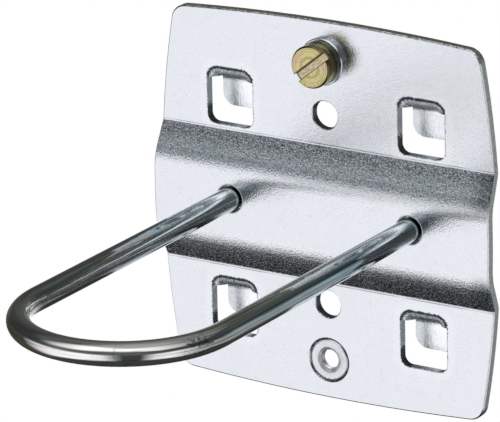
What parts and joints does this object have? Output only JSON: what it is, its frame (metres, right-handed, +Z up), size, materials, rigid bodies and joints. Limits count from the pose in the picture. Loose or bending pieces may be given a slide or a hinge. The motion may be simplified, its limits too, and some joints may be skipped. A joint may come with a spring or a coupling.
{
  "type": "pegboard hook",
  "caption": "Wire loop hook on a pressed steel plate with lanced tabs that hang in the square holes of a perforated panel, secured by a small screw.",
  "frame": {"origin": "midway between the two plain holes, in the plane of the wire loop, on the back face of the plate", "axes": "+Z up, +X to the right seen from the front, +Y backwards into the panel: the loop points along -Y"},
  "size_m": [0.0666, 0.088, 0.0678],
  "materials": {
    "plate_zinc": "bright zinc plating, satin",
    "wire_zinc": "bright zinc plating, glossy",
    "yellow_zinc": "yellow passivated zinc, turned",
    "dark_spring_steel": "dark, lightly oiled",
    "washer_zinc": "bright zinc plating",
    "nut_zinc": "bright zinc plating, turned"
  },
  "bodies": {
    "root": {"back_plate": "plate_zinc", "wire_loop": "wire_zinc", "upper_press_nut": "nut_zinc", "lower_press_nut": "nut_zinc", "locking_screw": "yellow_zinc", "spring_washer": "dark_spring_steel", "flat_washer": "washer_zinc"}
  },
  "joints": []
}
